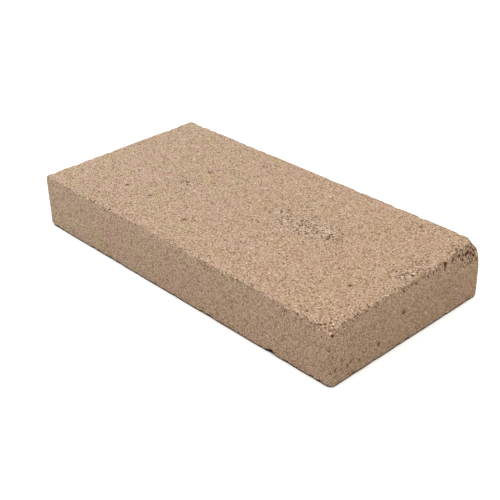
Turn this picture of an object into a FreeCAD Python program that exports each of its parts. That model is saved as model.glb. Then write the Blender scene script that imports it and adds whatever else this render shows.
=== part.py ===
"""Refractory firebrick, split size (9 x 4 1/2 x 1 1/4 in): one block of dense fireclay, pressed and fired.

Frame: millimetres, origin at the middle of the lower bed, +X along the length, +Y across the width, +Z up.
The two large faces are the beds, the long narrow ones the stretchers and the short narrow ones the headers.
"""
import FreeCAD, Part
import math
import os

# The block as it left the press and the kiln
length = 229.0
width = 114.0
thickness = 32.0
corner_radius = 3.0     # the four upright edges, rounded by the corners of the mould
arris_radius = 1.0      # the edges round both beds, dulled by handling

# Worn header: the upper edge of the +X header, rubbed back to a steep bevel from end to end
bevel_on_bed = 2.0
bevel_on_header = 8.0

# Worn arris: a long shallow spall down the upper edge of the +X header, widest at the +Y corner
worn_arris_length = 36.0
worn_arris_on_bed = 5.0
worn_arris_on_header = 12.0

# Knocked-off corner: a short deep bite out of the same corner, running along the +Y stretcher
corner_bite_length = 9.5
corner_bite_on_bed = 4.0
corner_bite_on_stretcher = 5.0

# Rubbed corner: a low facet worn across the upper corner of the +X header and the -Y stretcher
rubbed_corner_on_stretcher = 10.0
rubbed_corner_on_header = 11.0
rubbed_corner_drop = 3.5

# Nick: a small shell-shaped flake out of the lower arris of the -Y stretcher
nick_length = 5.6
nick_on_bed = 2.7
nick_on_stretcher = 2.6
nick_from_header = 39.3     # from the +X header to the middle of the nick

X, Y, Z = FreeCAD.Vector(1, 0, 0), FreeCAD.Vector(0, 1, 0), FreeCAD.Vector(0, 0, 1)
parallel_tolerance = 1e-6


def pressed_block():
    """The whole block: a box on its lower bed, with rounded upright edges and dulled arrises."""
    corner = FreeCAD.Vector(-length / 2, -width / 2, 0)
    box = Part.makeBox(length, width, thickness, corner)
    upright = [edge for edge in box.Edges if is_along(edge, Z)]
    rounded = box.makeFillet(corner_radius, upright)
    beds = [face for face in rounded.Faces if is_facing(face, Z)]
    return rounded.makeFillet(arris_radius, [edge for face in beds for edge in face.Edges])


def is_along(edge, direction):
    """True for a straight edge that runs along a direction, either way."""
    start, end = (vertex.Point for vertex in edge.Vertexes)
    return (end - start).cross(direction).Length < parallel_tolerance


def is_facing(face, direction):
    """True for a face whose normal at its middle lies along a direction, either way."""
    low_u, high_u, low_v, high_v = face.ParameterRange
    normal = face.normalAt((low_u + high_u) / 2, (low_v + high_v) / 2)
    return normal.cross(direction).Length < parallel_tolerance


def edge_flake(middle, out_a, out_b, reach_a, reach_b, half_length):
    """A ball that takes a shell-shaped flake out of a square edge, as fired clay breaks.

    middle is the flake's middle on the sharp edge. out_a and out_b are the outward normals of the two faces
    that meet there. The ball passes through four points: reach_a from the edge across face a, reach_b from
    the edge across face b, and half_length along the edge to either side. Equal distances from its centre to
    the edge's points and to the face's point give how far the centre stands off each face.
    """
    stand_off_a = (half_length ** 2 - reach_b ** 2) / (2 * reach_b)
    stand_off_b = (half_length ** 2 - reach_a ** 2) / (2 * reach_a)
    centre = middle + out_a * stand_off_a + out_b * stand_off_b
    return Part.makeSphere(math.hypot(stand_off_a, stand_off_b, half_length), centre)


def worn_header():
    """A wedge that fills the bevel out to the sharp upper edge of the +X header."""
    corner = FreeCAD.Vector(length / 2, -width / 2, thickness)
    on_bed = corner - X * bevel_on_bed
    on_header = corner - Z * bevel_on_header
    section = Part.Face(Part.makePolygon([corner, on_bed, on_header, corner]))
    return section.extrude(Y * width)


def worn_arris():
    """The spall along the upper edge of the +X header, widest at the corner, so one half of it shows."""
    corner = FreeCAD.Vector(length / 2, width / 2, thickness)
    return edge_flake(corner, Z, X, worn_arris_on_bed, worn_arris_on_header, worn_arris_length)


def corner_bite():
    """The bite along the upper edge of the +Y stretcher, at the same corner."""
    corner = FreeCAD.Vector(length / 2, width / 2, thickness)
    return edge_flake(corner, Z, Y, corner_bite_on_bed, corner_bite_on_stretcher, corner_bite_length)


def rubbed_corner():
    """A wedge that stands on the worn facet and reaches past the corner it took away."""
    corner = FreeCAD.Vector(length / 2, -width / 2, thickness)
    on_stretcher = corner - X * rubbed_corner_on_stretcher
    on_header = corner + Y * rubbed_corner_on_header
    down_edge = corner - Z * rubbed_corner_drop
    facet = Part.Face(Part.makePolygon([on_stretcher, down_edge, on_header, on_stretcher]))
    outward = (down_edge - on_stretcher).cross(on_header - on_stretcher).normalize()
    return facet.extrude(outward * rubbed_corner_drop)


def nick():
    """The flake out of the lower edge of the -Y stretcher."""
    middle = FreeCAD.Vector(length / 2 - nick_from_header, -width / 2, 0)
    return edge_flake(middle, -Z, -Y, nick_on_bed, nick_on_stretcher, nick_length / 2)


def firebrick():
    """The block with its damage cut away."""
    damage = [worn_header(), worn_arris(), corner_bite(), rubbed_corner(), nick()]
    return pressed_block().cut(damage).removeSplitter()


os.makedirs("parts", exist_ok=True)
brick = firebrick()
brick.exportStep("parts/firebrick.step")
print(f"firebrick: {len(brick.Solids)} solid, {brick.Volume:.0f} mm3, valid {brick.isValid()}")
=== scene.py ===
"""Looks of a refractory firebrick: a pressed block of sandy fireclay with worn arrises and broken corners.

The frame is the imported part's: metres, origin at the middle of the lower bed, +X along the length, +Y across
the width and +Z up. Shapes are worked out in millimetres in that frame, and become metres in the mesh.
The large faces are the beds, the long narrow ones the stretchers and the short narrow ones the headers.
"""

import itertools
import logging
import math
from collections.abc import Iterable, Iterator, Mapping, Sequence
from dataclasses import dataclass, field
from enum import Enum

import bpy
import numpy as np
from mathutils import Matrix, Vector


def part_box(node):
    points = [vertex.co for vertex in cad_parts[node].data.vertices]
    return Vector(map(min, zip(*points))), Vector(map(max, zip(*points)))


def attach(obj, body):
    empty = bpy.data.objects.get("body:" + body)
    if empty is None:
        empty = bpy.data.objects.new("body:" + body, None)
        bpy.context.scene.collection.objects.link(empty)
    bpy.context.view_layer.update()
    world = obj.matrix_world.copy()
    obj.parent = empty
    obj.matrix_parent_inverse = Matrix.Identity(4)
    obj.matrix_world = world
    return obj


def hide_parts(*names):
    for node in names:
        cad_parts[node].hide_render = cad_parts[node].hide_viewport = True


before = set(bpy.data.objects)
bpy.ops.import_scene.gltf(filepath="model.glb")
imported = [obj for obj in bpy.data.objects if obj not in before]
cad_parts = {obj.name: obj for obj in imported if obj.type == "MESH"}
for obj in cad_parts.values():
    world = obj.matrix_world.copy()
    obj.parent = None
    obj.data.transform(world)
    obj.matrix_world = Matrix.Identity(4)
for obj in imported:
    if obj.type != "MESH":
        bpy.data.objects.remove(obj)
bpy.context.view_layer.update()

log = logging.getLogger("firebrick")

Array = np.ndarray
Colour = tuple[float, float, float, float]
Socket = bpy.types.NodeSocket

MM = 0.001
WHITE = "#ffffff"

# The axes by number, and their directions
X, Y, Z = range(3)
AXES = np.eye(3)

# The sRGB curve: a straight line up to its knee, and a power of the value plus an offset above it
BYTE_MAX = 255
SRGB_KNEE = 0.04045
SRGB_SLOPE = 12.92
SRGB_OFFSET = 0.055
SRGB_POWER = 2.4

# Odd numbers that scatter cells over all 32-bit keys, and the shifts and factors that stir the keys
CELL_FACTORS = np.array([73856093, 19349663, 83492791])
SEED_FACTOR = 2654435761
STIR = ((16, 2246822519), (13, 3266489917))
KEY_COUNT = 2 ** 32

# A cell's own corners and its neighbours, as steps in whole cells
CELL_CORNERS = np.array(list(itertools.product((0, 1), repeat=len(AXES))))
CELL_NEIGHBOURS = np.array(list(itertools.product((-1, 0, 1), repeat=len(AXES))))

# Which sets of random numbers shape the surface
SAND_SEED = 11
CLOD_SEED = 23
WAVE_SEEDS = (31, 37)
ROUGH_SEED = 53

# Places of the colour sockets on a Mix node, whose names also stand for its other kinds of value
MIX_A, MIX_B, MIX_RESULT = 6, 7, 2

# The chance number at which a grain of sand is neither darker nor paler than the clay
EVEN_CHANCE = 0.5

# Corners of a quad, and the side of a matrix that turns and moves
QUAD = 4
MATRIX_SIDE = 4


class Face(Enum):
    """The six faces of the block, each with the axis that it lies across and its side of the middle."""

    LOWER_BED = (Z, -1)
    UPPER_BED = (Z, 1)
    NEAR_STRETCHER = (Y, -1)
    FAR_STRETCHER = (Y, 1)
    PLAIN_HEADER = (X, -1)
    SPALLED_HEADER = (X, 1)

    @property
    def axis(self) -> int:
        """The axis that the face lies across."""
        return self.value[0]

    @property
    def outward(self) -> Array:
        """The face's outward direction."""
        axis, side = self.value
        return side * AXES[axis]


class Edge(Enum):
    """The kinds of edge on the block, which crumble to different degrees."""

    SPALLED = "arris between the upper bed and the spalled header"
    NEAR = "arris between the upper bed and the near stretcher"
    UPPER = "any other arris round the upper bed"
    LOWER = "arris round the lower bed"
    UPRIGHT = "upright edge between a stretcher and a header"


def linear(colour: str) -> Colour:
    """Turns an sRGB hex colour to linear light.

    Args:
        colour: The colour as #rrggbb.

    Returns:
        Linear red, green and blue, and an alpha of 1.
    """
    values = np.array(list(bytes.fromhex(colour.lstrip("#")))) / BYTE_MAX
    curved = ((values + SRGB_OFFSET) / (1 + SRGB_OFFSET)) ** SRGB_POWER
    return *np.where(values <= SRGB_KNEE, values / SRGB_SLOPE, curved).tolist(), 1.0


def hashed(cells: Array, seed: int) -> Array:
    """Gives each whole-number cell its own fixed random number.

    The cell's three numbers, each times a large odd number, and the seed add up to a key. The key is stirred
    by rounds of shifting, exclusive or and multiplying, and divided by the number of keys.

    Args:
        cells: Whole-number places, three to a cell.
        seed: Which set of random numbers is drawn.

    Returns:
        A number from 0 to 1 for each cell.
    """
    keys = ((cells * CELL_FACTORS).sum(-1) + seed * SEED_FACTOR) % KEY_COUNT
    for shift, factor in STIR:
        keys = (keys ^ (keys >> shift)) * factor % KEY_COUNT
    return (keys ^ (keys >> STIR[0][0])) / KEY_COUNT


def drift(points: Array, size: float, seed: int) -> Array:
    """Smooth random drift over space.

    Each corner of a cubic cell has a random number. A point takes the eight numbers round it, by shares that
    ease in and out along each axis.

    Args:
        points: Places in millimetres.
        size: Side of a cell in millimetres, about half a wavelength of the drift.
        seed: Which set of random numbers is drawn.

    Returns:
        A number from -1 to 1 for each point.
    """
    scaled = points / size
    cells = np.floor(scaled).astype(np.int64)
    share = scaled - cells
    share = share * share * (3 - 2 * share)
    shares = np.where(CELL_CORNERS, share[:, None], 1 - share[:, None]).prod(-1)
    return 2 * (shares * hashed(cells[:, None] + CELL_CORNERS, seed)).sum(-1) - 1


def grains(points: Array, size: float, seed: int) -> Array:
    """Packs space with one grain to a cubic cell.

    Each cell has one random point, the middle of its grain, and a place belongs to the grain whose middle is
    the nearest among its own cell and the cells round it.

    Args:
        points: Places in millimetres.
        size: Side of a cell in millimetres, which is the mean size of a grain.
        seed: Which set of random numbers is drawn.

    Returns:
        Each point's distance from the middle of its grain, in cells.
    """
    scaled = points / size
    around = np.floor(scaled).astype(np.int64)[:, None] + CELL_NEIGHBOURS
    inside = np.stack([hashed(around, seed + axis) for axis in (X, Y, Z)], -1)
    return np.linalg.norm(around + inside - scaled[:, None], axis=-1).min(-1)


def add_node(
    tree: bpy.types.NodeTree,
    kind: str,
    inputs: Mapping[str | int, object] | None = None,
    **settings: object,
) -> bpy.types.Node:
    """Adds a node with its settings and links.

    Args:
        tree: The tree that takes the node.
        kind: The node's type, less its leading ShaderNode.
        inputs: What goes into the inputs, by name or place: another node's output, or a value.
        settings: The node's own properties.

    Returns:
        The new node.
    """
    node = tree.nodes.new("ShaderNode" + kind)
    for name, value in settings.items():
        setattr(node, name, value)
    for name, value in (inputs or {}).items():
        if isinstance(value, Socket):
            tree.links.new(value, node.inputs[name])
        else:
            node.inputs[name].default_value = value
    return node


def tinted(tree: bpy.types.NodeTree, colour: Socket | Colour, share: Socket, tint: str) -> Socket:
    """Lays a tint over a colour.

    Args:
        tree: The material's tree.
        colour: The colour underneath.
        share: How much of the tint covers it, from 0 to 1.
        tint: The tint.

    Returns:
        The colour with the tint.
    """
    return add_node(tree, "Mix", {
        "Factor": share, MIX_A: colour, MIX_B: linear(tint),
    }, data_type="RGBA").outputs[MIX_RESULT]


def bare_tree(owner: bpy.types.Material | bpy.types.World) -> bpy.types.NodeTree:
    """Gives a material or a world its nodes.

    Args:
        owner: The material or world.

    Returns:
        Its tree, without the nodes that come with it.
    """
    owner.use_nodes = True
    owner.node_tree.nodes.clear()
    return owner.node_tree


def put_in_scene(data: bpy.types.ID) -> bpy.types.Object:
    """Puts a mesh, light or camera into the scene.

    Args:
        data: The mesh, light or camera.

    Returns:
        Its object, at the origin and with the same name.
    """
    made = bpy.data.objects.new(data.name, data)
    bpy.context.scene.collection.objects.link(made)
    return made


@dataclass(frozen=True)
class Hollow:
    """A ball that presses the surface in: the shape in which fired clay flakes, chips and pits.

    Attributes:
        centre: The ball's middle, outside the clay.
        radius: The ball's radius.
    """

    centre: Array
    radius: float

    @classmethod
    def pit(cls, mouth: Array, outward: Array, mouth_radius: float, depth: float) -> "Hollow":
        """A pit in a face, by the ball through the rim of its round mouth and its deepest point."""
        # The ball's radius is the mouth's radius squared plus the depth squared, over twice the depth
        radius = (mouth_radius ** 2 + depth ** 2) / (2 * depth)
        return cls(mouth + outward * (radius - depth), radius)

    def press(self, points: Array) -> None:
        """Moves the points inside the ball straight out from its centre, to its surface.

        Args:
            points: Places in millimetres, changed in place.
        """
        away = points - self.centre
        gaps = np.linalg.norm(away, axis=1)
        inside = gaps < self.radius
        points[inside] = self.centre + away[inside] * (self.radius / gaps[inside])[:, None]


@dataclass(frozen=True)
class Flake:
    """A flake off a square edge.

    Attributes:
        reach_a: How far it reaches from the edge across the first face, in millimetres.
        reach_b: How far it reaches across the second face.
        half_length: How far it runs along the edge to either side of its middle.
    """

    reach_a: float
    reach_b: float
    half_length: float

    def off(self, middle: Array, out_a: Array, out_b: Array) -> Hollow:
        """Takes the flake off an edge, by the ball through its four outermost points.

        Equal distances from the ball's centre to the edge's two points and to a face's point give how far
        the centre stands off the other face: half length squared less reach squared, over twice the reach.

        Args:
            middle: The flake's middle on the sharp edge.
            out_a: Outward direction of the first face at the edge.
            out_b: Outward direction of the second face.

        Returns:
            The ball.
        """
        stand_off_a = (self.half_length ** 2 - self.reach_b ** 2) / (2 * self.reach_b)
        stand_off_b = (self.half_length ** 2 - self.reach_a ** 2) / (2 * self.reach_a)
        centre = middle + out_a * stand_off_a + out_b * stand_off_b
        return Hollow(centre, math.hypot(stand_off_a, stand_off_b, self.half_length))


@dataclass(frozen=True)
class Facet:
    """A flat rubbed across a corner or along an edge.

    Attributes:
        on_surface: A point of the flat.
        outward: Its outward direction, of length one.
    """

    on_surface: Array
    outward: Array

    @classmethod
    def through(cls, corner: Array, reaches: Array) -> "Facet":
        """The flat that takes a corner off.

        Args:
            corner: The sharp corner.
            reaches: How far the flat reaches back from it along X, Y and Z, with the signs of the corner's
                outward directions.

        Returns:
            The flat, whose normal is made of one over each reach.
        """
        normal = 1 / reaches
        axis = np.abs(normal).argmax()
        return cls(corner - reaches[axis] * AXES[axis], normal / np.linalg.norm(normal))

    def press(self, points: Array) -> None:
        """Moves the points that stand outside the flat straight in, onto it."""
        height = (points - self.on_surface) @ self.outward
        points -= np.maximum(height, 0)[:, None] * self.outward


@dataclass(frozen=True)
class Crumbling:
    """How an edge has crumbled.

    Attributes:
        chips_per_metre: How many small chips it has lost.
        reach: Least and greatest reach of a chip across a face, in millimetres.
        roughness: How rough the clay is along the edge, from 0 for a face to 1 for a fresh break.
        worn: How far a bevel rubbed along the edge reaches across the bed and over the side, in millimetres.
    """

    chips_per_metre: float
    reach: tuple[float, float]
    roughness: float
    worn: tuple[float, float] = (0.0, 0.0)


@dataclass(frozen=True)
class Pit:
    """A round pit in a face.

    Attributes:
        face: The face.
        along: The pit's place in millimetres along the first of the face's axes, X before Y before Z.
        across: Its place along the second.
        radius: Radius of its mouth in millimetres.
    """

    face: Face
    along: float
    across: float
    radius: float


@dataclass(frozen=True)
class PitRun:
    """Small pits along a line on a face.

    Attributes:
        face: The face.
        start: Where the line starts, in millimetres along the face's two axes, X before Y before Z.
        end: Where it ends.
        spread: How far off the line a pit lies at most, along each axis.
        count: How many pits there are.
        radius: Least and greatest radius of a pit's mouth.
    """

    face: Face
    start: tuple[float, float]
    end: tuple[float, float]
    spread: float
    count: int
    radius: tuple[float, float]

    def pits(self, random: np.random.Generator) -> Iterator[Pit]:
        """The run's pits, one at random in each of as many equal stretches of the line.

        Args:
            random: The source of the random numbers.

        Yields:
            Each pit.
        """
        start, end = np.array(self.start), np.array(self.end)
        for stretch in range(self.count):
            share = (stretch + random.random()) / self.count
            off_line = random.uniform(-self.spread, self.spread, 2)
            yield Pit(self.face, *(start + share * (end - start) + off_line), random.uniform(*self.radius))


@dataclass(frozen=True)
class RoughPatch:
    """A patch of the upper bed where coarser sand stands out.

    Attributes:
        x: Place of its middle along the length, in millimetres.
        y: Place of its middle across the width.
        length: Distance along the length at which its roughness has fallen to about a third.
        width: Distance across the width at which it has.
        roughness: How rough its middle is before the drift, where 1 is a fresh break. More than 1 widens the
            part that is as rough as can be.
    """

    x: float
    y: float
    length: float
    width: float
    roughness: float


@dataclass
class Surface:
    """What a finish builds up layer by layer.

    Attributes:
        tree: The material's tree.
        place: Object coordinates.
        rough: How rough the place is, from 0 for a pressed face to 1 for a fresh break.
        colour: The colour so far.
        height: The height so far, in shares of the finish's relief.
    """

    tree: bpy.types.NodeTree
    place: Socket
    rough: Socket
    colour: Socket
    height: Socket | float = 0.0

    def cells(self, size_mm: float) -> tuple[Socket, Socket]:
        """Packs the clay with cells.

        Args:
            size_mm: Mean size of a cell.

        Returns:
            The distance from the middle of the cell in cells, and the cell's own number from 0 to 1.
        """
        cells = add_node(self.tree, "TexVoronoi", {"Vector": self.place, "Scale": 1 / (size_mm * MM)})
        number = add_node(self.tree, "SeparateColor", {0: cells.outputs["Color"]})
        return cells.outputs["Distance"], number.outputs[0]

    def by_roughness(self, roughness: tuple[float, float], shares: tuple[float, float]) -> Socket:
        """How much of a layer shows, by how rough the clay is.

        Args:
            roughness: The clay's roughness where the layer shows the least and where it shows the most.
            shares: How much of the layer shows at these two.

        Returns:
            The share.
        """
        return add_node(self.tree, "MapRange", {
            "Value": self.rough, "From Min": roughness[0], "From Max": roughness[1],
            "To Min": shares[0], "To Max": shares[1],
        }).outputs[0]

    def lay(self, share: Socket, tint: str, height: float = 0.0) -> None:
        """Lays a tint over the colour, and adds to the height if the tint has one.

        Args:
            share: How much of the tint covers the colour, from 0 to 1.
            tint: The tint.
            height: How far the tint stands out where it covers the colour whole.
        """
        self.colour = tinted(self.tree, self.colour, share, tint)
        if height:
            self.height = add_node(
                self.tree, "Math", {0: share, 1: height, 2: self.height}, operation="MULTIPLY_ADD"
            ).outputs[0]


@dataclass(frozen=True)
class Sand:
    """Sand packed through the clay, each grain darker or paler by chance, and most of them by little.

    Attributes:
        dark: Colour of the darkest grains.
        pale: Colour of the palest grains.
        grain_mm: Mean size of a grain.
        rarity: Power that a grain's chance number is raised to, which makes strong colours rare.
        roughness: The clay's roughness where the sand begins to show more, and where it shows the most.
        shares: How strongly the sand shows at these two.
        height: How far its palest grains stand out and its darkest lie in, in shares of the finish's relief.
    """

    dark: str
    pale: str
    grain_mm: float
    rarity: float
    roughness: tuple[float, float]
    shares: tuple[float, float]
    height: float

    def lay_on(self, surface: Surface) -> None:
        """Lays the sand over a surface.

        Args:
            surface: The surface.
        """
        tree = surface.tree
        _, number = surface.cells(self.grain_mm)
        shown = surface.by_roughness(self.roughness, self.shares)
        for tint, full, side in ((self.dark, 0.0, -1), (self.pale, 1.0, 1)):
            away = add_node(tree, "MapRange", {"Value": number, "From Min": EVEN_CHANCE, "From Max": full})
            strength = add_node(tree, "Math", {0: away.outputs[0], 1: self.rarity}, operation="POWER")
            share = add_node(tree, "Math", {0: strength.outputs[0], 1: shown}, operation="MULTIPLY")
            surface.lay(share.outputs[0], tint, side * self.height)


@dataclass(frozen=True)
class Gaps:
    """The shade in the gaps between packed grains.

    Attributes:
        tint: Colour of the gaps.
        grain_mm: Mean size of a grain.
        reach: Distances from the middle of a grain, in grains, where the gap begins and where it is deepest.
        share: How strongly the tint shows where the gap is deepest.
    """

    tint: str
    grain_mm: float
    reach: tuple[float, float]
    share: float

    def lay_on(self, surface: Surface) -> None:
        """Lays the shade over a surface.

        Args:
            surface: The surface.
        """
        distance, _ = surface.cells(self.grain_mm)
        share = add_node(surface.tree, "MapRange", {
            "Value": distance, "From Min": self.reach[0], "From Max": self.reach[1], "To Max": self.share,
        })
        surface.lay(share.outputs[0], self.tint)


@dataclass(frozen=True)
class Speckle:
    """Round spots scattered through the clay, one to a cell, with only a share of the cells filled.

    Attributes:
        tint: Colour of the spots.
        spacing_mm: Mean distance between spots, if every cell were filled.
        radius_mm: Radius of a spot.
        shares: Shares of the cells that are filled where the spots are fewest and where they are most.
        height: How far the spots stand out, or in, if negative, in shares of the finish's relief.
        roughness: The clay's roughness at these two.
        core: Share of the radius inside which a spot has its full colour.
    """

    tint: str
    spacing_mm: float
    radius_mm: float
    shares: tuple[float, float]
    height: float
    roughness: tuple[float, float] = (0.0, 1.0)
    core: float = 0.7

    def lay_on(self, surface: Surface) -> None:
        """Lays the spots over a surface.

        Args:
            surface: The surface.
        """
        tree = surface.tree
        distance, number = surface.cells(self.spacing_mm)
        filled = surface.by_roughness(self.roughness, self.shares)
        there = add_node(tree, "Math", {0: number, 1: filled}, operation="LESS_THAN")
        reach = self.radius_mm / self.spacing_mm
        inside = add_node(tree, "MapRange", {
            "Value": distance, "From Min": reach, "From Max": reach * self.core,
        })
        share = add_node(tree, "Math", {0: there.outputs[0], 1: inside.outputs[0]}, operation="MULTIPLY")
        surface.lay(share.outputs[0], self.tint, self.height)


@dataclass(frozen=True)
class Fireclay:
    """Fireclay with crushed grog, dry pressed, fired and left unglazed.

    To the eye it is a matte, sandy buff. Fine sand in lighter and darker shades speckles a tan ground that
    drifts from yellower to pinker. Pale crumbs of grog and dark open pores are few on the faces and many
    where the clay is rough. Coarse sand stands out there as well, and a break is browner. The pores are
    sunk in the bump and their shade is painted dark, the pits and the nick get painted shade through the
    pit mark, and painted light warms the clay towards the spalled header, where the cool side light is weaker.

    Attributes:
        name: The material's name.
        yellow_ground: The yellower of the two tans that the clay drifts between.
        pink_ground: The pinker of them.
        painted_warm_light: Painted light, a warm tint that grows towards the spalled header, as the cool side
            light there is weaker.
        painted_warm_light_share: How strongly that painted tint shows at its end.
        painted_warm_light_from_mm: Half the length of clay over which that painted tint comes in.
        broken_clay: Colour of a fresh break.
        pit: Painted shade, dark brown, laid into the pits and the nick where the pit mark is full.
        ground_patch_mm: Size of the patches in which the clay drifts between its tans.
        ground_patch_range: Values of the drift at which the clay is all yellow and all pink.
        ground_detail: How many finer drifts are added to the slow one.
        ground_detail_share: How strong each finer drift is, beside the one before it.
        layers: What is laid over the clay, from below.
        relief_mm: How far a layer of height 1 stands out.
        roughness: How matte the clay is, which is nearly as matte as can be.
        ior: Index of refraction of fired clay.
        specular_level: How much of the gloss is left, which is little on an open, sandy surface.
    """

    name: str = "fireclay_dry_pressed_unglazed"
    yellow_ground: str = "#d6c09d"
    pink_ground: str = "#dcbaa7"
    painted_warm_light: str = "#d8ae8b"
    painted_warm_light_share: float = 0.5
    painted_warm_light_from_mm: float = 114.5
    broken_clay: str = "#ae7d53"
    pit: str = "#623c1e"
    ground_patch_mm: float = 16.0
    ground_patch_range: tuple[float, float] = (0.36, 0.64)
    ground_detail: float = 2.0
    ground_detail_share: float = 0.6

    # A pixel of the picture is about 0.6 mm of clay. Most of the clay's sand is finer and wouldn't show, so
    # grains, gaps and pores are drawn as coarse as they need to show
    layers: tuple[Sand | Gaps | Speckle, ...] = (
        Sand("#91704f", "#ffead3", 0.42, 1.3, (0.0, 0.25), (0.46, 0.64), 0.0),
        Gaps("#8a6847", 0.8, (0.35, 0.75), 0.7),
        Sand("#664626", "#fbe2ca", 0.8, 1.2, (0.25, 1.0), (0.0, 0.8), 1.0),
        Speckle("#fbe4cc", 1.3, 0.45, (0.02, 0.14), 1.0),
        Speckle("#fff0de", 2.0, 0.55, (0.0, 0.12), 1.0),
        # Painted shade: the two dark speckles are pores sunk in the bump, with the shade inside them painted
        # dark brown
        Speckle("#5f3f20", 1.2, 0.5, (0.01, 0.5), -1.0),
        Speckle("#6a3f20", 2.4, 0.85, (0.0, 0.5), -1.0, (0.4, 1.0)),
    )
    relief_mm: float = 0.1
    roughness: float = 0.93
    ior: float = 1.52
    specular_level: float = 0.2

    def material(self) -> bpy.types.Material:
        """Makes the material.

        Returns:
            The material, which reads the block's Object coordinates and its marks rough, broken and pit. The
            last lays painted shade into the pits and the nick.
        """
        made = bpy.data.materials.new(self.name)
        tree = bare_tree(made)
        place = add_node(tree, "TexCoord").outputs["Object"]
        rough, broken, pit = (
            add_node(tree, "Attribute", attribute_name=mark).outputs["Fac"]
            for mark in ("rough", "broken", "pit")
        )
        surface = Surface(tree, place, rough, self.ground(tree, place, broken))
        for layer in self.layers:
            layer.lay_on(surface)
        relief = add_node(tree, "Bump", {"Distance": self.relief_mm * MM, "Height": surface.height})
        shader = add_node(tree, "BsdfPrincipled", {
            # The pit mark lays painted shade, dark brown, into the pits and the nick
            "Base Color": tinted(tree, surface.colour, pit, self.pit),
            "Roughness": self.roughness,
            "IOR": self.ior,
            "Specular IOR Level": self.specular_level,
            "Normal": relief.outputs[0],
        })
        add_node(tree, "OutputMaterial", {"Surface": shader.outputs[0]})
        return made

    def ground(self, tree: bpy.types.NodeTree, place: Socket, broken: Socket) -> Socket:
        """The clay's colour, drifting between two tans, browner where it is broken, and warmed by painted
        light.

        Args:
            tree: The material's tree.
            place: Object coordinates.
            broken: How much of a break the place is.

        Returns:
            The colour.
        """
        patches = add_node(tree, "TexNoise", {
            "Vector": place, "Scale": 1 / (self.ground_patch_mm * MM),
            "Detail": self.ground_detail, "Roughness": self.ground_detail_share,
        })
        low, high = self.ground_patch_range
        share = add_node(tree, "MapRange", {"Value": patches.outputs[0], "From Min": low, "From Max": high})
        tan = tinted(tree, linear(self.yellow_ground), share.outputs[0], self.pink_ground)
        along = add_node(tree, "SeparateXYZ", {0: place})
        # Painted light: the clay warms towards the spalled header, standing in for the cool side lamp's light
        # falling off along the block
        painted_warmth = add_node(tree, "MapRange", {
            "Value": along.outputs["X"], "To Max": self.painted_warm_light_share,
            "From Min": -self.painted_warm_light_from_mm * MM, "From Max": self.painted_warm_light_from_mm * MM,
        })
        painted_warm = tinted(tree, tan, painted_warmth.outputs[0], self.painted_warm_light)
        return tinted(tree, painted_warm, broken, self.broken_clay)


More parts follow.
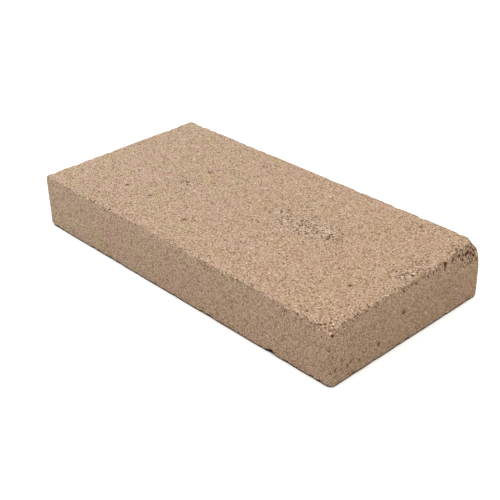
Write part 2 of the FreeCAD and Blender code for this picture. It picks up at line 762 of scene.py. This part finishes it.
@dataclass
class Firebrick:
    """The block: a lattice over its box, rounded, broken and roughened as the clay wore.

    Attributes:
        low: Lowest corner of the block's box, in millimetres, as all the block's sizes are.
        high: Highest corner of the box.
        corner_radius: Radius of the upright edges.
        arris_radius: Radius of the edges round both beds.
        fine_step: Spacing of the lattice near the edges.
        fine_band: Width of the band along the edges where the spacing is fine.
        coarse_step: Spacing of the lattice elsewhere.
        worn_arris: The spall from the far corner along the spalled header's upper edge, bed first.
        corner_bite: The bite from the same corner along the far stretcher's upper edge, bed first.
        rubbed_corner: How far the flat on the near upper corner reaches along the near stretcher, along the
            spalled header and down the upright edge.
        nick: The nick in the near stretcher's lower edge, bed first.
        nick_from_header: Distance from the spalled header to the middle of the nick.
        crumbling: How each kind of edge has crumbled.
        chip_stretch: Least and greatest half length of a chip, over its greater reach.
        crumbled_width: How far from an edge its crumbling is felt.
        soft_break_depth: Depth from which on a break is softened in full.
        soft_rounds: How many rounds soften the breaks.
        rough_break_depth: Depth from which on a break is as rough as can be.
        full_break_depth: Depth from which on a break has its full colour and its deepest clods.
        bed_roughness: How rough the upper bed is all over, from 0 to 1.
        rough_patches: Patches of the upper bed with coarser sand.
        pits: The pits that stand out, by their places.
        pit_runs: The runs of small pits along the worn header's edge and near its lower corner.
        pits_per_square_metre: How many smaller pits are scattered over the faces.
        scattered_pit_radius: Least and greatest radius of a scattered pit's mouth.
        pit_depth_share: Depth of a pit, over the radius of its mouth.
        gather_reach: How far round a pit the lattice is drawn together, over the radius of the pit's mouth.
        gather_power: Power of the distance by which the lattice is drawn together.
        deepest_break: How far inside a face's plane a worn or broken place still counts as the face's.
        painted_pit_shade_depth: How far a point is pressed in, by a pit or the nick, where the painted shade
        in it is full.
        sand_mm: Mean size of the grains of sand that stand out.
        sand_depth: How deep a smooth face lies one grain away from a grain's middle.
        rough_sand_depth: How much deeper the roughest clay lies there.
        clod_mm: Mean size of the clods in a break.
        clod_depth: How deep a break lies one clod away from a clod's middle.
        wave_mm: Sizes of the cells of the slow waves in the faces.
        wave_depth: Half the depth of a wave.
        rough_drift_mm: Size of the cells in which the roughness drifts.
        seed: Which set of random numbers places the chips and the random pits.
        name: Name of the finished piece.
    """

    low: Array
    high: Array
    corner_radius: float = 3.0
    arris_radius: float = 1.0
    fine_step: float = 0.5
    fine_band: float = 8.0
    coarse_step: float = 1.05

    # Damage at its real size, as in the solid
    worn_arris: Flake = Flake(5.0, 12.0, 36.0)
    corner_bite: Flake = Flake(4.0, 5.0, 9.5)
    rubbed_corner: tuple[float, float, float] = (10.0, 11.0, 3.5)
    nick: Flake = Flake(2.7, 2.6, 2.8)
    nick_from_header: float = 39.3

    crumbling: Mapping[Edge, Crumbling] = field(default_factory=lambda: {
        Edge.SPALLED: Crumbling(160.0, (0.6, 1.5), 0.8, (2.0, 8.0)),
        Edge.NEAR: Crumbling(140.0, (0.5, 1.3), 0.55, (0.9, 6.0)),
        Edge.UPPER: Crumbling(140.0, (0.8, 1.7), 0.5),
        Edge.LOWER: Crumbling(90.0, (0.5, 1.1), 0.1, (3.2, 1.2)),
        Edge.UPRIGHT: Crumbling(80.0, (1.9, 2.4), 0.15),
    })
    chip_stretch: tuple[float, float] = (1.1, 2.0)
    crumbled_width: float = 2.4
    soft_break_depth: float = 0.3
    soft_rounds: int = 12
    rough_break_depth: float = 1.6
    full_break_depth: float = 3.0
    bed_roughness: float = 0.25
    rough_patches: tuple[RoughPatch, ...] = (
        RoughPatch(38.0, 7.0, 24.0, 10.0, 1.35),
        RoughPatch(-45.0, -6.0, 16.0, 12.0, 0.7),
        RoughPatch(106.0, 10.0, 7.0, 17.0, 0.9),
        RoughPatch(108.0, 42.0, 6.0, 16.0, 0.9),
    )
    pits: tuple[Pit, ...] = (
        Pit(Face.UPPER_BED, -69.4, -29.6, 0.79),
        Pit(Face.UPPER_BED, -49.6, -28.9, 0.79),
        Pit(Face.UPPER_BED, -14.3, -34.0, 0.73),
        Pit(Face.UPPER_BED, -47.8, 14.5, 0.73),
        Pit(Face.UPPER_BED, 39.1, 9.8, 0.53),
        Pit(Face.UPPER_BED, 49.8, 4.4, 0.53),
        Pit(Face.UPPER_BED, 53.0, 5.5, 0.59),
        Pit(Face.UPPER_BED, 55.2, 6.2, 0.59),
        Pit(Face.UPPER_BED, 58.0, 7.2, 0.5),
        Pit(Face.UPPER_BED, 81.2, 48.1, 0.79),
        Pit(Face.UPPER_BED, 93.8, -21.1, 0.73),
        Pit(Face.UPPER_BED, 106.2, -55.6, 0.6),
        Pit(Face.UPPER_BED, 107.2, -54.1, 0.6),
        Pit(Face.UPPER_BED, 108.6, -51.4, 0.55),
        Pit(Face.SPALLED_HEADER, -5.3, 18.7, 0.8),
        Pit(Face.SPALLED_HEADER, -23.5, 9.1, 0.78),
        Pit(Face.SPALLED_HEADER, -44.2, 9.3, 0.45),
        Pit(Face.SPALLED_HEADER, -50.0, 12.9, 0.45),
        Pit(Face.SPALLED_HEADER, 48.4, 27.8, 0.75),
        Pit(Face.SPALLED_HEADER, 41.6, 29.6, 0.75),
        Pit(Face.SPALLED_HEADER, 36.0, 30.2, 0.7),
        Pit(Face.SPALLED_HEADER, 27.4, 30.8, 0.9),
        Pit(Face.SPALLED_HEADER, 27.0, 28.5, 0.7),
        Pit(Face.SPALLED_HEADER, -23.7, 31.5, 0.6),
        Pit(Face.SPALLED_HEADER, -29.0, 31.5, 0.55),
        Pit(Face.SPALLED_HEADER, -39.1, 31.5, 0.5),
        Pit(Face.SPALLED_HEADER, -47.5, 31.3, 0.5),
        Pit(Face.SPALLED_HEADER, -55.2, 28.8, 0.7),
        Pit(Face.NEAR_STRETCHER, 112.4, 20.8, 0.66),
        Pit(Face.NEAR_STRETCHER, 22.2, 18.9, 0.66),
        Pit(Face.NEAR_STRETCHER, 75.0, 2.3, 0.95),
    )
    pit_runs: tuple[PitRun, ...] = (
        PitRun(Face.SPALLED_HEADER, (55.0, 25.0), (44.0, 27.0), 1.8, 5, (0.6, 0.75)),
        PitRun(Face.SPALLED_HEADER, (42.0, 29.5), (-9.0, 30.5), 0.9, 8, (0.6, 0.7)),
        PitRun(Face.SPALLED_HEADER, (-33.0, 8.0), (-54.0, 11.0), 4.0, 6, (0.4, 0.5)),
    )
    pits_per_square_metre: float = 450.0
    scattered_pit_radius: tuple[float, float] = (0.35, 0.6)
    pit_depth_share: float = 0.7
    gather_reach: float = 3.0
    gather_power: float = 0.7
    deepest_break: float = 6.0
    painted_pit_shade_depth: float = 0.1
    sand_mm: float = 1.3
    sand_depth: float = 0.012
    rough_sand_depth: float = 0.3
    clod_mm: float = 2.6
    clod_depth: float = 0.45
    wave_mm: tuple[float, float] = (7.0, 21.0)
    wave_depth: float = 0.04
    rough_drift_mm: float = 6.0
    seed: int = 7
    name: str = "fireclay_block"

    def build(self, finish: Fireclay) -> bpy.types.Object:
        """Makes the block and dresses it.

        Args:
            finish: The block's finish.

        Returns:
            The block, riding on the part's body in place of its solid.
        """
        random = np.random.default_rng(self.seed)
        points, quads = self.lattice()
        rough = self.roughness(points)
        points = self.rounded(points)
        self.pressed(points, self.bevels())
        broken = self.pressed(points, self.breakages())
        points = self.softened(points, quads, np.clip(broken / self.soft_break_depth, 0, 1))
        self.pressed(points, self.chips(random))
        pit = self.pitted(points, random)
        rough = np.maximum(rough, np.clip(broken / self.rough_break_depth, 0, 1))
        broken = np.clip(broken / self.full_break_depth, 0, 1)
        points -= self.relief(points, rough, broken)[:, None] * self.normals(points, quads)
        points = np.clip(points, self.low, self.high)
        # The pit mark lays painted shade into the pits and the nick, by how far each point was pressed in
        marks = {"rough": rough, "broken": broken, "pit": np.clip(pit / self.painted_pit_shade_depth, 0, 1)}
        block = self.mesh_object(points, quads, marks)
        block.data.materials.append(finish.material())
        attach(block, "root")
        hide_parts("firebrick")
        return block

    def pressed(self, points: Array, damage: Iterable[Hollow | Facet]) -> Array:
        """Presses damage into the surface, one piece after another.

        Args:
            points: Points of the surface, changed in place.
            damage: The damage.

        Returns:
            How far each point has moved.
        """
        before = points.copy()
        for piece in damage:
            piece.press(points)
        return np.linalg.norm(points - before, axis=1)

    def lines(self, low: float, high: float) -> Array:
        """Lays the lattice's lines across one axis.

        They stand a fine step apart in a band at either end, and evenly, about a coarse step apart, between.

        Args:
            low: Place of the first line.
            high: Place of the last line.

        Returns:
            The places of the lines, rising.
        """
        band = np.arange(0, self.fine_band, self.fine_step)
        count = round((high - low - 2 * self.fine_band) / self.coarse_step) + 1
        middle = np.linspace(low + self.fine_band, high - self.fine_band, count)
        return np.concatenate([low + band, middle, high - band[::-1]])

    def lattice(self) -> tuple[Array, Array]:
        """Lays a closed lattice of quads over the box.

        Each face is a grid over two axes, with the third at its first or last line. A point's number comes
        from its three line numbers, so that all faces share the points on their edges and corners.

        Returns:
            The points, and each quad's four points in order, seen from outside.
        """
        lines = [self.lines(low, high) for low, high in zip(self.low, self.high)]
        counts = np.array([len(line) for line in lines])
        strides = np.array([counts[Y] * counts[Z], counts[Z], 1])
        grids = []
        for axis, first, second in ((X, Y, Z), (Y, Z, X), (Z, X, Y)):
            u, v = np.meshgrid(np.arange(counts[first] - 1), np.arange(counts[second] - 1), indexing="ij")
            corner = u * strides[first] + v * strides[second]
            along, across = strides[first], strides[second]
            ring = np.stack([corner, corner + along, corner + along + across, corner + across], -1)
            grids.append(ring.reshape(-1, QUAD)[:, ::-1])
            grids.append(ring.reshape(-1, QUAD) + (counts[axis] - 1) * strides[axis])
        numbers, quads = np.unique(np.concatenate(grids), return_inverse=True)
        places = np.unravel_index(numbers, counts)
        points = np.stack([line[place] for line, place in zip(lines, places)], -1)
        return points, quads.reshape(-1, QUAD)

    def rounded(self, points: Array) -> Array:
        """Rounds the box's edges and corners.

        For the arrises a point is its nearest point of an inner box, which stands in by the arris radius,
        and a rest, which is made as long as the radius. For the upright edges the plan is treated likewise,
        with an inner rectangle. There the rest is made as long as its longer side, which turns squares into
        circles.

        Args:
            points: Points on the box.

        Returns:
            The points on the rounded box.
        """
        core = np.clip(points, self.low + self.arris_radius, self.high - self.arris_radius)
        rest = points - core
        points = core + rest * self.arris_radius / np.linalg.norm(rest, axis=1, keepdims=True)
        core = np.clip(points, self.low + self.corner_radius, self.high - self.corner_radius)[:, :Z]
        rest = points[:, :Z] - core
        longest = np.abs(rest).max(1, keepdims=True)
        length = np.where(longest > 0, np.linalg.norm(rest, axis=1, keepdims=True), 1)
        points[:, :Z] = core + rest * longest / length
        return points

    def bevels(self) -> Iterator[Facet]:
        """The bevels along the worn edges, and the slant that keeps the lower edges just off the floor.

        Yields:
            Each bevel, whose normal is the side's over the bevel's reach on the bed, plus the bed's over its
            reach on the side, made one long.
        """
        for kind, _, start, (side, bed) in self.edges():
            on_bed, on_side = self.crumbling[kind].worn
            if on_bed:
                normal = side / on_bed + bed / on_side
                yield Facet(start, normal / np.linalg.norm(normal))

    def breakages(self) -> Iterator[Hollow | Facet]:
        """The large damage: the spalled header, and the knocked-off and rubbed corners.

        Yields:
            Each piece of damage, in the order in which it is pressed.
        """
        far, up, right = Face.FAR_STRETCHER.outward, Face.UPPER_BED.outward, Face.SPALLED_HEADER.outward
        yield self.worn_arris.off(self.high, up, right)
        yield self.corner_bite.off(self.high, up, far)
        near_corner = np.array([self.high[X], self.low[Y], self.high[Z]])
        along_stretcher, along_header, down = self.rubbed_corner
        yield Facet.through(near_corner, np.array([along_stretcher, -along_header, down]))

    def softened(self, points: Array, quads: Array, share: Array) -> Array:
        """Wears the sharp borders of the breaks round.

        In each round the breaks reach one point farther, and their points move to the mean of the middles of
        the quads round them.

        Args:
            points: Points of the surface.
            quads: Each quad's four points.
            share: How far each point moves towards the mean, from 0 to 1.

        Returns:
            The points in their new places.
        """
        around = np.bincount(quads.ravel(), minlength=len(points))
        for _ in range(self.soft_rounds):
            share = np.maximum(share, self.spread(share[:, None], quads, around)[:, 0])
            mean = self.spread(points, quads, around)
            points = points + share[:, None] * (mean - points)
        return points

    def spread(self, values: Array, quads: Array, around: Array) -> Array:
        """Gives each point the mean, over the quads round it, of the mean of their four points' values.

        Args:
            values: A row of values for each point.
            quads: Each quad's four points.
            around: How many quads lie round each point.

        Returns:
            The new values.
        """
        middles = values[quads].mean(1)
        columns = [
            np.bincount(quads.ravel(), np.repeat(middle, QUAD), minlength=len(values))
            for middle in middles.T
        ]
        return np.stack(columns, -1) / around[:, None]

    def edges(self) -> Iterator[tuple[Edge, int, Array, list[Array]]]:
        """Goes round the twelve edges.

        Yields:
            Each edge's kind, the axis that it runs along, its starting corner, and the outward directions of
            its two faces, the bed's last. A worn upper edge lies back on the bed, where its bevel begins,
            and a worn lower one up the side.
        """
        for axis, *across in ((X, Y, Z), (Y, X, Z), (Z, X, Y)):
            for sides in itertools.product((-1, 1), repeat=2):
                outs = [side * AXES[other] for side, other in zip(sides, across)]
                kind = self.edge_kind(axis, sides)
                on_bed, on_side = self.crumbling[kind].worn
                back = on_side * outs[1] if kind is Edge.LOWER else on_bed * outs[0]
                yield kind, axis, np.where(sum(outs) > 0, self.high, self.low) - back, outs

    def edge_kind(self, axis: int, sides: tuple[int, int]) -> Edge:
        """The kind of an edge.

        Args:
            axis: The axis that it runs along.
            sides: Its sides of the middle along the two other axes.

        Returns:
            The kind.
        """
        if axis == Z:
            return Edge.UPRIGHT
        if sides[1] < 0:
            return Edge.LOWER
        return {(Y, 1): Edge.SPALLED, (X, -1): Edge.NEAR}.get((axis, sides[0]), Edge.UPPER)

    def chips(self, random: np.random.Generator) -> Iterator[Hollow]:
        """Small chips at random along all the edges.

        Args:
            random: The source of the random numbers.

        Yields:
            Each chip, a flake off the edge.
        """
        for kind, axis, start, outs in self.edges():
            crumbling = self.crumbling[kind]
            length = self.high[axis] - self.low[axis]
            for _ in range(round(crumbling.chips_per_metre * length * MM)):
                middle = start + random.uniform(0, length) * AXES[axis]
                reaches = random.uniform(*crumbling.reach, 2)
                half_length = reaches.max() * random.uniform(*self.chip_stretch)
                yield Flake(*reaches, half_length).off(middle, *outs)

    def pitted(self, points: Array, random: np.random.Generator) -> Array:
        """Presses in the nick, the pits that stand out, and the smaller ones, scattered and in runs.

        Args:
            points: Points of the surface, changed in place.
            random: The source of the random numbers.

        Returns:
            How far each point has been pressed in.
        """
        middle = np.array([self.high[X] - self.nick_from_header, self.low[Y], self.low[Z]])
        nick = self.nick.off(middle, Face.LOWER_BED.outward, Face.NEAR_STRETCHER.outward)
        sunk = self.pressed(points, [nick])
        runs = (pit for run in self.pit_runs for pit in run.pits(random))
        for pit in itertools.chain(self.pits, self.scattered_pits(random), runs):
            mouth = self.gathered(points, pit)
            hollow = Hollow.pit(mouth, pit.face.outward, pit.radius, self.pit_depth_share * pit.radius)
            sunk += self.pressed(points, [hollow])
        return sunk

    def scattered_pits(self, random: np.random.Generator) -> Iterator[Pit]:
        """Small pits at random over all the faces.

        Args:
            random: The source of the random numbers.

        Yields:
            Each pit.
        """
        for face in Face:
            low, high = (np.delete(corner, face.axis) for corner in (self.low, self.high))
            for _ in range(round(self.pits_per_square_metre * (high - low).prod() * MM ** 2)):
                yield Pit(face, *random.uniform(low, high), random.uniform(*self.scattered_pit_radius))

    def gathered(self, points: Array, pit: Pit) -> Array:
        """Draws the lattice together round a pit, so that a small pit is well drawn too.

        The mouth's middle is the point of the face, or of what is worn off it, nearest to the pit's place. A
        point within the reach moves straight towards it, and its distance shrinks by a power of the distance
        over the reach.

        Args:
            points: Points of the surface, changed in place.
            pit: The pit.

        Returns:
            The middle of the pit's mouth.
        """
        axis = pit.face.axis
        level = (self.high if pit.face.outward[axis] > 0 else self.low)[axis]
        off_place = np.delete(points, axis, axis=1) - [pit.along, pit.across]
        off_face = np.abs(points[:, axis] - level) > self.deepest_break
        mouth = points[np.where(off_face, np.inf, (off_place ** 2).sum(1)).argmin()].copy()
        away = points - mouth
        reach = self.gather_reach * pit.radius
        share = np.minimum(np.linalg.norm(away, axis=1) / reach, 1) ** self.gather_power
        points[:] = mouth + away * share[:, None]
        return mouth

    def roughness(self, points: Array) -> Array:
        """How rough the clay is: along the edges, over the upper bed, and more in its rough patches.

        Args:
            points: Points on the box.

        Returns:
            0 on a smooth face to 1 on a fresh break, at each point. From an edge or a patch's middle it
            falls off as e to the minus distance squared, and a random drift then raises or lowers it.
        """
        rough = np.zeros(len(points))
        for kind, axis, start, _ in self.edges():
            gap = np.delete(points - start, axis, axis=1) / self.crumbled_width
            rough = np.maximum(rough, self.crumbling[kind].roughness * np.exp(-(gap ** 2).sum(1)))
        upper = points[:, Z] == self.high[Z]
        rough = np.maximum(rough, upper * self.bed_roughness)
        for patch in self.rough_patches:
            gap = (points[:, :Z] - [patch.x, patch.y]) / [patch.length, patch.width]
            rough = np.maximum(rough, upper * patch.roughness * np.exp(-(gap ** 2).sum(1)))
        return np.clip(rough * (1 + drift(points, self.rough_drift_mm, ROUGH_SEED)), 0, 1)

    def relief(self, points: Array, rough: Array, broken: Array) -> Array:
        """How deep the sandy surface lies below the pressed one.

        Args:
            points: Points of the surface.
            rough: How rough the clay is at each point, from 0 to 1.
            broken: How much of each point's place is a fresh break, from 0 to 1.

        Returns:
            The depth at each point. Sand adds the distance from a grain's middle, times a depth that grows
            with the square of the roughness. Breaks add their clods likewise, and waves add their drift.
        """
        sand = grains(points, self.sand_mm, SAND_SEED)
        clods = grains(points, self.clod_mm, CLOD_SEED)
        waves = sum(1 + drift(points, size, seed) for size, seed in zip(self.wave_mm, WAVE_SEEDS))
        sanding = (self.sand_depth + self.rough_sand_depth * rough ** 2) * sand
        return sanding + self.wave_depth * waves + self.clod_depth * broken * clods

    def normals(self, points: Array, quads: Array) -> Array:
        """Outward directions of the surface at its points.

        Args:
            points: The points.
            quads: Each quad's four points.

        Returns:
            The sum of the cross products of the diagonals of the quads round each point, made one long.
        """
        corners = points[quads]
        facing = np.cross(corners[:, 2] - corners[:, 0], corners[:, 3] - corners[:, 1])
        total = np.zeros_like(points)
        np.add.at(total, quads.ravel(), np.repeat(facing, QUAD, axis=0))
        return total / np.linalg.norm(total, axis=1, keepdims=True)

    def mesh_object(self, points: Array, quads: Array, marks: Mapping[str, Array]) -> bpy.types.Object:
        """Makes the mesh and its object.

        Args:
            points: The points in millimetres.
            quads: Each quad's four points.
            marks: Numbers at the points that the finish reads, by name.

        Returns:
            The object, at the origin.
        """
        mesh = bpy.data.meshes.new(self.name)
        mesh.from_pydata((points * MM).tolist(), [], quads.tolist())
        mesh.shade_smooth()
        for name, values in marks.items():
            mesh.attributes.new(name, "FLOAT", "POINT").data.foreach_set("value", values.astype(np.float32))
        return put_in_scene(mesh)


@dataclass
class Studio:
    """A white sweep under soft overhead light.

    Attributes:
        floor_half: Half the side of the floor, in metres.
        floor_colour: The floor's own colour.
        painted_contact_shadow: Painted shadow, the floor's colour right under the block's edges.
        floor_glow: What is added to the floor's light where it is seen, so that it is white outside shadows.
        painted_shadow_reach: How near the block has to be, in metres, for the painted shadow on the floor.
        painted_shadow_open: Open shares of the sky above a point where the painted shadow is darkest and gone.
        lamp_place: Place of the side lamp, in metres.
        lamp_side: Side of the square side lamp, in metres.
        lamp_watts: Power of the side lamp.
        lamp_colour: Colour of the side lamp, a little bluer than white.
        sun_strength: Strength of the overhead light.
        sun_spread: Angle that the overhead light fills, in degrees, which softens its shadows.
        sun_towards: Direction in which the overhead light shines.
        ambient: Strength of the light from all round.
    """

    floor_half: float = 20.0
    floor_colour: str = "#f0efed"
    painted_contact_shadow: str = "#1e1813"
    floor_glow: float = 0.45
    painted_shadow_reach: float = 0.01
    painted_shadow_open: tuple[float, float] = (0.27, 0.41)
    lamp_place: tuple[float, float, float] = (-0.45, -0.4, 0.35)
    lamp_side: float = 0.3
    lamp_watts: float = 0.77
    lamp_colour: str = "#eaf0ff"
    sun_strength: float = 2.35
    sun_spread: float = 70.0
    sun_towards: tuple[float, float, float] = (0.0, -0.02, -1.0)
    ambient: float = 0.165

    def build(self) -> tuple[bpy.types.Object, ...]:
        """Makes the floor, the lights and the surroundings.

        Returns:
            The floor and the lights.
        """
        made = self.floor(), self.sun(), self.side_lamp()
        self.world()
        return made

    def seen(self, tree: bpy.types.NodeTree) -> Socket:
        """Whether the camera sees a point, straight or in a reflection.

        Args:
            tree: The tree that asks.

        Returns:
            1 where it is seen and 0 where the point only lights other things.
        """
        path = add_node(tree, "LightPath")
        mirrored = add_node(tree, "Math", {
            0: path.outputs["Is Glossy Ray"], 1: path.outputs["Is Transmission Ray"],
        }, operation="MAXIMUM")
        return add_node(tree, "Math", {
            0: path.outputs["Is Camera Ray"], 1: mirrored.outputs[0],
        }, operation="MAXIMUM").outputs[0]

    def floor(self) -> bpy.types.Object:
        """Makes the floor.

        Returns:
            The floor.
        """
        half = self.floor_half
        mesh = bpy.data.meshes.new("floor")
        corners = [(-half, -half, 0), (half, -half, 0), (half, half, 0), (-half, half, 0)]
        mesh.from_pydata(corners, [], [(0, 1, 2, 3)])
        floor = put_in_scene(mesh)
        # Paper, matt and unprinted: to the eye an even white with no gloss
        material = bpy.data.materials.new("paper_sweep_matt_white")
        tree = bare_tree(material)
        # Painted shadow: where the block hides most of the sky, as ambient occlusion finds, the floor's colour
        # turns dark and its glow is held back, for the little light that gets in under the block's lower edges
        sky = add_node(tree, "AmbientOcclusion", {"Distance": self.painted_shadow_reach})
        low, high = self.painted_shadow_open
        white = add_node(tree, "MapRange", {"Value": sky.outputs["AO"], "From Min": low, "From Max": high})
        colour = tinted(tree, linear(self.painted_contact_shadow), white.outputs[0], self.floor_colour)
        paper = add_node(tree, "BsdfDiffuse", {"Color": colour})
        glow = add_node(tree, "MapRange", {"Value": white.outputs[0], "To Max": self.floor_glow})
        seen = add_node(tree, "Math", {0: self.seen(tree), 1: glow.outputs[0]}, operation="MULTIPLY")
        light = add_node(tree, "Emission", {"Strength": seen.outputs[0]})
        both = add_node(tree, "AddShader", {0: paper.outputs[0], 1: light.outputs[0]})
        add_node(tree, "OutputMaterial", {"Surface": both.outputs[0]})
        mesh.materials.append(material)
        return floor

    def sun(self) -> bpy.types.Object:
        """Makes the overhead light.

        Returns:
            The light.
        """
        data = bpy.data.lights.new("overhead_light", "SUN")
        data.energy = self.sun_strength
        data.angle = math.radians(self.sun_spread)
        sun = put_in_scene(data)
        sun.rotation_euler = Vector(self.sun_towards).to_track_quat("-Z", "Y").to_euler()
        return sun

    def side_lamp(self) -> bpy.types.Object:
        """Makes the lamp at the side, aimed at the origin, from which the light falls off along the block.

        Returns:
            The lamp.
        """
        data = bpy.data.lights.new("side_lamp", "AREA")
        data.size = self.lamp_side
        data.energy = self.lamp_watts
        data.color = linear(self.lamp_colour)[:3]
        lamp = put_in_scene(data)
        lamp.location = self.lamp_place
        lamp.rotation_euler = (-Vector(self.lamp_place)).to_track_quat("-Z", "Y").to_euler()
        return lamp

    def world(self) -> None:
        """Gives the scene its surroundings, which are dim as light and white where they are seen."""
        world = bpy.data.worlds.new("white_surroundings")
        tree = bare_tree(world)
        strength = add_node(tree, "MapRange", {"Value": self.seen(tree), "To Min": self.ambient})
        sky = add_node(tree, "Background", {"Color": linear(WHITE), "Strength": strength.outputs[0]})
        add_node(tree, "OutputWorld", {"Surface": sky.outputs[0]})
        bpy.context.scene.world = world


@dataclass(frozen=True)
class Viewpoint:
    """The camera, as fitted to the brick's edges.

    Attributes:
        place: The camera's place in metres.
        yaw: How far its view is turned from +Y towards -X, in degrees.
        pitch: How far it looks down, in degrees.
        roll: How far it is turned about its own view, in degrees.
        focal_pixels: Focal length in pixels of the picture.
        picture_pixels: Side of the square picture in pixels.
    """

    place: tuple[float, float, float] = (0.3631, -0.3359, 0.2909)
    yaw: float = 47.19
    pitch: float = 30.07
    roll: float = -1.36
    focal_pixels: float = 1015.8
    picture_pixels: int = 500

    def build(self) -> bpy.types.Object:
        """Makes the camera and gives it to the scene.

        Returns:
            The camera.
        """
        data = bpy.data.cameras.new("camera")
        data.lens = data.sensor_width * self.focal_pixels / self.picture_pixels
        camera = put_in_scene(data)
        # The camera starts looking straight down. It is rolled, tipped up to its pitch and turned to its yaw
        turn = Matrix.Rotation(math.radians(self.yaw), MATRIX_SIDE, "Z")
        tip = Matrix.Rotation(math.pi / 2 - math.radians(self.pitch), MATRIX_SIDE, "X")
        roll = Matrix.Rotation(math.radians(self.roll), MATRIX_SIDE, "Z")
        camera.matrix_world = Matrix.Translation(self.place) @ (turn @ tip) @ roll
        bpy.context.scene.camera = camera
        return camera


def main() -> None:
    """Builds the block, the studio and the camera, and reports each piece."""
    logging.basicConfig(level=logging.INFO, format="%(name)s: %(message)s")
    low, high = (np.array(corner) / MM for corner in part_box("firebrick"))
    block = Firebrick(low, high).build(Fireclay())
    log.info("%s: %d points, %d quads", block.name, len(block.data.vertices), len(block.data.polygons))
    for made in (*Studio().build(), Viewpoint().build()):
        log.info("%s: %s", made.name, made.type.lower())
    bpy.context.scene.view_settings.view_transform = "Standard"


if __name__ == "__main__":
    main()
